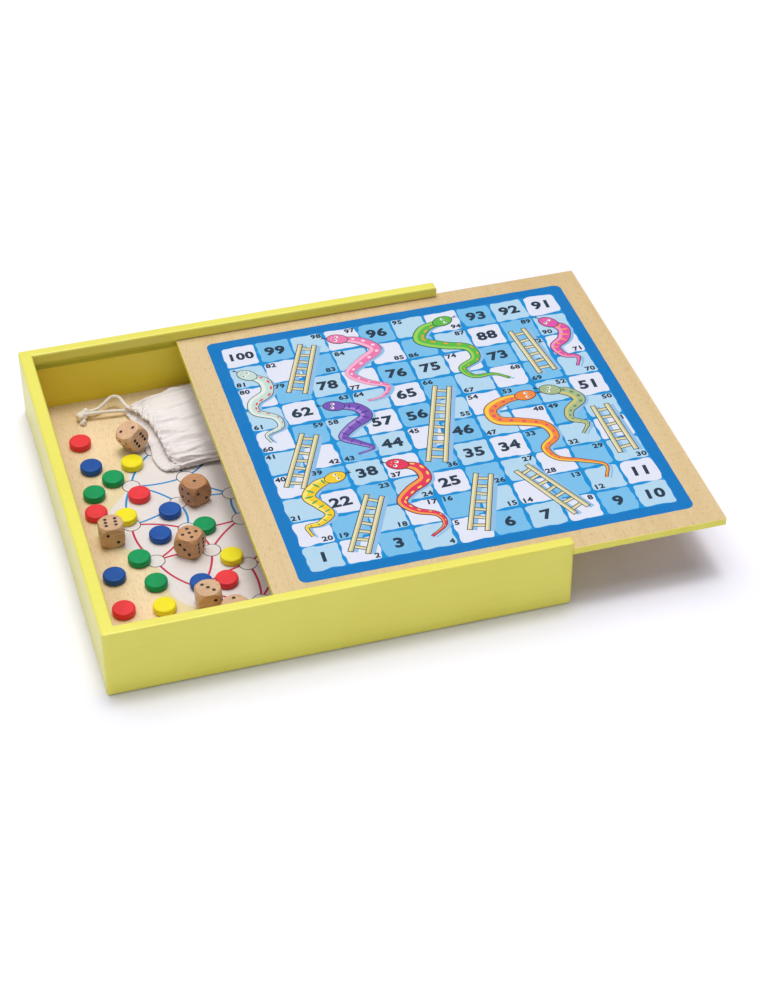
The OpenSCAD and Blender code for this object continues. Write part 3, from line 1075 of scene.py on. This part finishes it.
def make_bag():
    """A drawstring pouch lying flat, its mouth gathered and its upper hem drawn back."""
    loops = [smooth_loop(BAG_MOUTH, BAG_ROUND)]
    loops += [smooth_loop(bag_section(*section), BAG_ROUND) for section in BAG_SECTIONS]
    threads = [smooth_line([loop[k] for loop in loops], 18) for k in range(BAG_ROUND)]
    last = len(threads[0]) - 1
    from_mouth = [i / last * BAG_LONG for i in range(last + 1)]
    rings = []
    for i, along in enumerate(from_mouth):
        ring = [thread[i] for thread in threads]
        made = []
        for k, point in enumerate(ring):
            share = k / BAG_ROUND
            upper = 0.02 < share < 0.52
            edge = min(1.0, min(abs(share - s) for s in (0.0, 0.5, 1.0)) / 0.06)
            way = (ring[(k + 1) % BAG_ROUND] - ring[k - 1]).normalized()
            steep = abs(way.y) + abs(way.z) > 0.2
            out = -(Vector((0, way.z, -way.y)) if steep else Vector((0, 0, 1))).normalized()
            spot = point + out * cloth_push(along, share, edge) * (1.0 if upper else 0.22)
            if not upper:
                spot.z += 3.0 * edge * math.exp(-((along - 12) / 5) ** 2)
            spot.z = max(spot.z, BAG_LOW)
            made.append(spot)
        rings.append(made)
    perimeter = sum((a - b).length for a, b in zip(loops[2], loops[2][1:] + loops[2][:1]))
    bag = loft("cotton_pouch", rings, uv_size=(perimeter, BAG_LONG))
    bag.data.materials.append(cotton("cotton_cloth", "F3EDEB", "E7DFDC", 1.5, 16.0))
    weight = bag.vertex_groups.new(name="cloth_weight")
    for i, along in enumerate(from_mouth):
        past_hem = max(0.0, min(1.0, (along - HEM) / 2))
        thickness = 1 - (1 - CLOTH / HEM_CLOTH) * past_hem
        weight.add(range(i * BAG_ROUND, (i + 1) * BAG_ROUND), thickness, "REPLACE")
    face_outwards(bag)
    thick = bag.modifiers.new("thick", "SOLIDIFY")
    thick.thickness, thick.offset, thick.vertex_group = HEM_CLOTH * MM, -1, weight.name
    settle(bag)
    bpy.ops.object.shade_smooth()
    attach(bag, "bag")
    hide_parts("cotton_bag")


make_bag()

# ---- drawstring

CORD_RADIUS = 1.2
CORD_SIDES = 24
# The strands' middle lines in millimetres from EXIT, from the knot to inside the hem
ARCHED = [
    (-30, 5.6, 4.4), (-26, 5.4, 4.6), (-22.4, 6.2, 4.9), (-19.2, 8, 5.5), (-16, 10, 6.5),
    (-13.1, 11.7, 7.6), (-10.9, 12.4, 8.3), (-8.5, 12.1, 8.7), (-6.6, 10.7, 8.7),
    (-5.3, 8.5, 8.4), (-4.4, 5.8, 7.9), (-3.4, 2.4, 7.3), (-1.8, -1, 6.9), (1.7, -4, 6.8),
    (5.5, -5.6, 6.8),
]
STRAIGHT = [
    (-31, 2.7, 4.6), (-26.6, 2.3, 4.9), (-22, 1.9, 4.9), (-18, 1.5, 4.8), (-12.4, 1, 4.6),
    (-6.8, 0.5, 4.2), (-2.4, 0.2, 3.9), (2.5, -1.8, 3.9), (7.5, -5, 4.1),
]


def cord_tube(name, line, radius, plies=3, twist=0.55):
    """Twisted plies along a line of places in millimetres, thinner at its two ends."""
    rings = []
    facing = Vector((0, 0, 1))
    travelled = 0.0
    for i, point in enumerate(line):
        ahead = heading(line, i)
        facing = (facing - ahead * facing.dot(ahead)).normalized()
        side = ahead.cross(facing)
        if i:
            travelled += (point - line[i - 1]).length
        ring = []
        for k in range(CORD_SIDES):
            angle = k * math.tau / CORD_SIDES
            ply = abs(math.cos((angle * plies - travelled * twist * plies) / 2))
            fibre = unrest(math.cos(angle) * 2, math.sin(angle) * 2, travelled * 0.9)
            reach = radius * (0.92 + 0.13 * ply**0.7 + 0.05 * fibre)
            if i in (0, len(line) - 1):
                reach *= 0.55
            ring.append(point + (side * math.cos(angle) + facing * math.sin(angle)) * reach)
        rings.append(ring)
    tube = loft(name, rings, uv_size=(radius * math.tau, travelled), caps=True)
    face_outwards(tube)
    bpy.ops.object.shade_smooth()
    return tube


def even_line(points, step):
    """A smooth curve through points, at even steps."""
    fine = smooth_line(points, 24)
    total = sum((b - a).length for a, b in zip(fine, fine[1:]))
    count = max(2, round(total / step))
    made, travelled, k = [fine[0]], 0.0, 1
    for a, b in zip(fine, fine[1:]):
        long = (b - a).length
        while k <= count and travelled + long >= total * k / count - 1e-9:
            made.append(a.lerp(b, (total * k / count - travelled) / long))
            k += 1
        travelled += long
    return made, total


def wound(start, end, radius, turns, phase=0.0):
    """Turns of cord about a line from start to end."""
    start, end = Vector(start), Vector(end)
    side = (end - start).cross(Vector((0, 0, 1))).normalized()
    up = side.cross(end - start).normalized()
    count = round(turns * 26)
    return [
        start.lerp(end, k / count)
        + radius * (side * math.cos(phase + turns * math.tau * k / count)
                    + up * math.sin(phase + turns * math.tau * k / count))
        for k in range(count + 1)
    ]


def make_drawstring():
    """Both strands of the cord, and the knot that ties them, with its frayed ends."""
    rope = cotton("cotton_cord", "F6F0E6", "E7DDCE", 2.2, 0.0)
    core = [(-35, 1.8, 3.5), (-33.2, 3.5, 3.9), (-31, 5.4, 4.4), (-29.4, 5.6, 4.4)]
    turns = [
        (wound((-36.0, 1.0, 3.4), (-32.7, 3.9, 3.5), 2.0, 2.2, 0.4), 1.6),
        (wound((-35.0, 3.7, 3.7), (-33.4, 1.2, 3.6), 1.9, 1.1, 2.0), 1.5),
        (wound((-31.5, 5.2, 4.3), (-29.7, 6.4, 4.4), 1.15, 1.7, 1.0), 1.5),
        (even_line(core, 0.5)[0], CORD_RADIUS),
    ]
    parts = [
        cord_tube(f"knot_{k}", [EXIT + p for p in line], radius)
        for k, (line, radius) in enumerate(turns)
    ]
    rng = random.Random(8)

    def about(middle, swing):
        return middle + rng.uniform(-swing, swing)

    for k in range(34):
        root = Vector((about(-34.4, 1.4), about(0.2, 0.8), about(2.4, 1.0)))
        way = Vector((rng.uniform(-0.42, 0.38), -1, rng.uniform(-0.42, 0.1))).normalized()
        far = root + way * rng.uniform(2.6, 4.6)
        bend = Vector((about(0, 0.5), about(0, 0.4), rng.uniform(-0.2, 0.3)))
        far.z = max(far.z, 1.0)
        tuft, _ = even_line([root, root.lerp(far, 0.5) + bend, far], 0.5)
        thin = rng.uniform(0.3, 0.5)
        parts.append(cord_tube(f"fray_{k}", [EXIT + p for p in tuft], thin, 2, 1.2))
    take(*parts)
    bpy.ops.object.join()
    knot = bpy.context.active_object
    knot.name = knot.data.name = "cord_knot"
    pieces = [(knot, "drawstring_knot")]
    strands = (
        ("arched_strand", ARCHED, "drawstring_arched"),
        ("straight_strand", STRAIGHT, "drawstring_straight"),
    )
    for name, route, node in strands:
        line, total = even_line([EXIT + Vector(p) for p in route], 0.6)
        strand = cord_tube(name, line, CORD_RADIUS)
        path, _ = even_line([EXIT + Vector(p) for p in route], total / 26)
        total * MM
        [p * MM for p in path]
        pieces.append((strand, node))
    for piece, node in pieces:
        piece.data.materials.clear()
        piece.data.materials.append(rope)
        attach(piece, "bag")
        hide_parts(node)


make_drawstring()

# ---- studio


def studio():
    bpy.ops.mesh.primitive_plane_add(size=30, location=(0, 0, -0.0002))
    floor = bpy.context.active_object
    floor.name = "studio_floor"
    f = Finish("studio_floor", Roughness=0.9)
    cloud = f.speckle(f.place(), 2, 2)
    f.feed(Base_Color=f.mix(cloud, (0.915, 0.905, 1, 1), (0.93, 0.92, 1, 1)))
    floor.data.materials.append(f.material)

    world = bpy.data.worlds.new("studio")
    scene.world = world
    world.use_nodes = True
    sky = world.node_tree.nodes["Background"]
    sky.inputs["Color"].default_value = (0.89, 0.92, 1, 1)
    sky.inputs["Strength"].default_value = 0.23

    def broad_light(name, way, spread, share):
        """A far, soft light. share is how bright it makes a white floor."""
        light = bpy.data.lights.new(name, "SUN")
        way = Vector(way).normalized()
        light.angle = math.radians(spread)
        light.energy = share * math.pi / -way.z
        holder = bpy.data.objects.new(name, light)
        scene.collection.objects.link(holder)
        holder.rotation_mode = "QUATERNION"
        holder.rotation_quaternion = way.to_track_quat("-Z", "Y")

    broad_light("overhead", (0.05, -0.3, -1), 60, 0.62)
    broad_light("key", (-0.06, -0.18, -1), 14, 0.24)
    broad_light("front", (0.2, 1, -0.25), 50, 0.04)
    scene.view_settings.view_transform = "Standard"


studio()
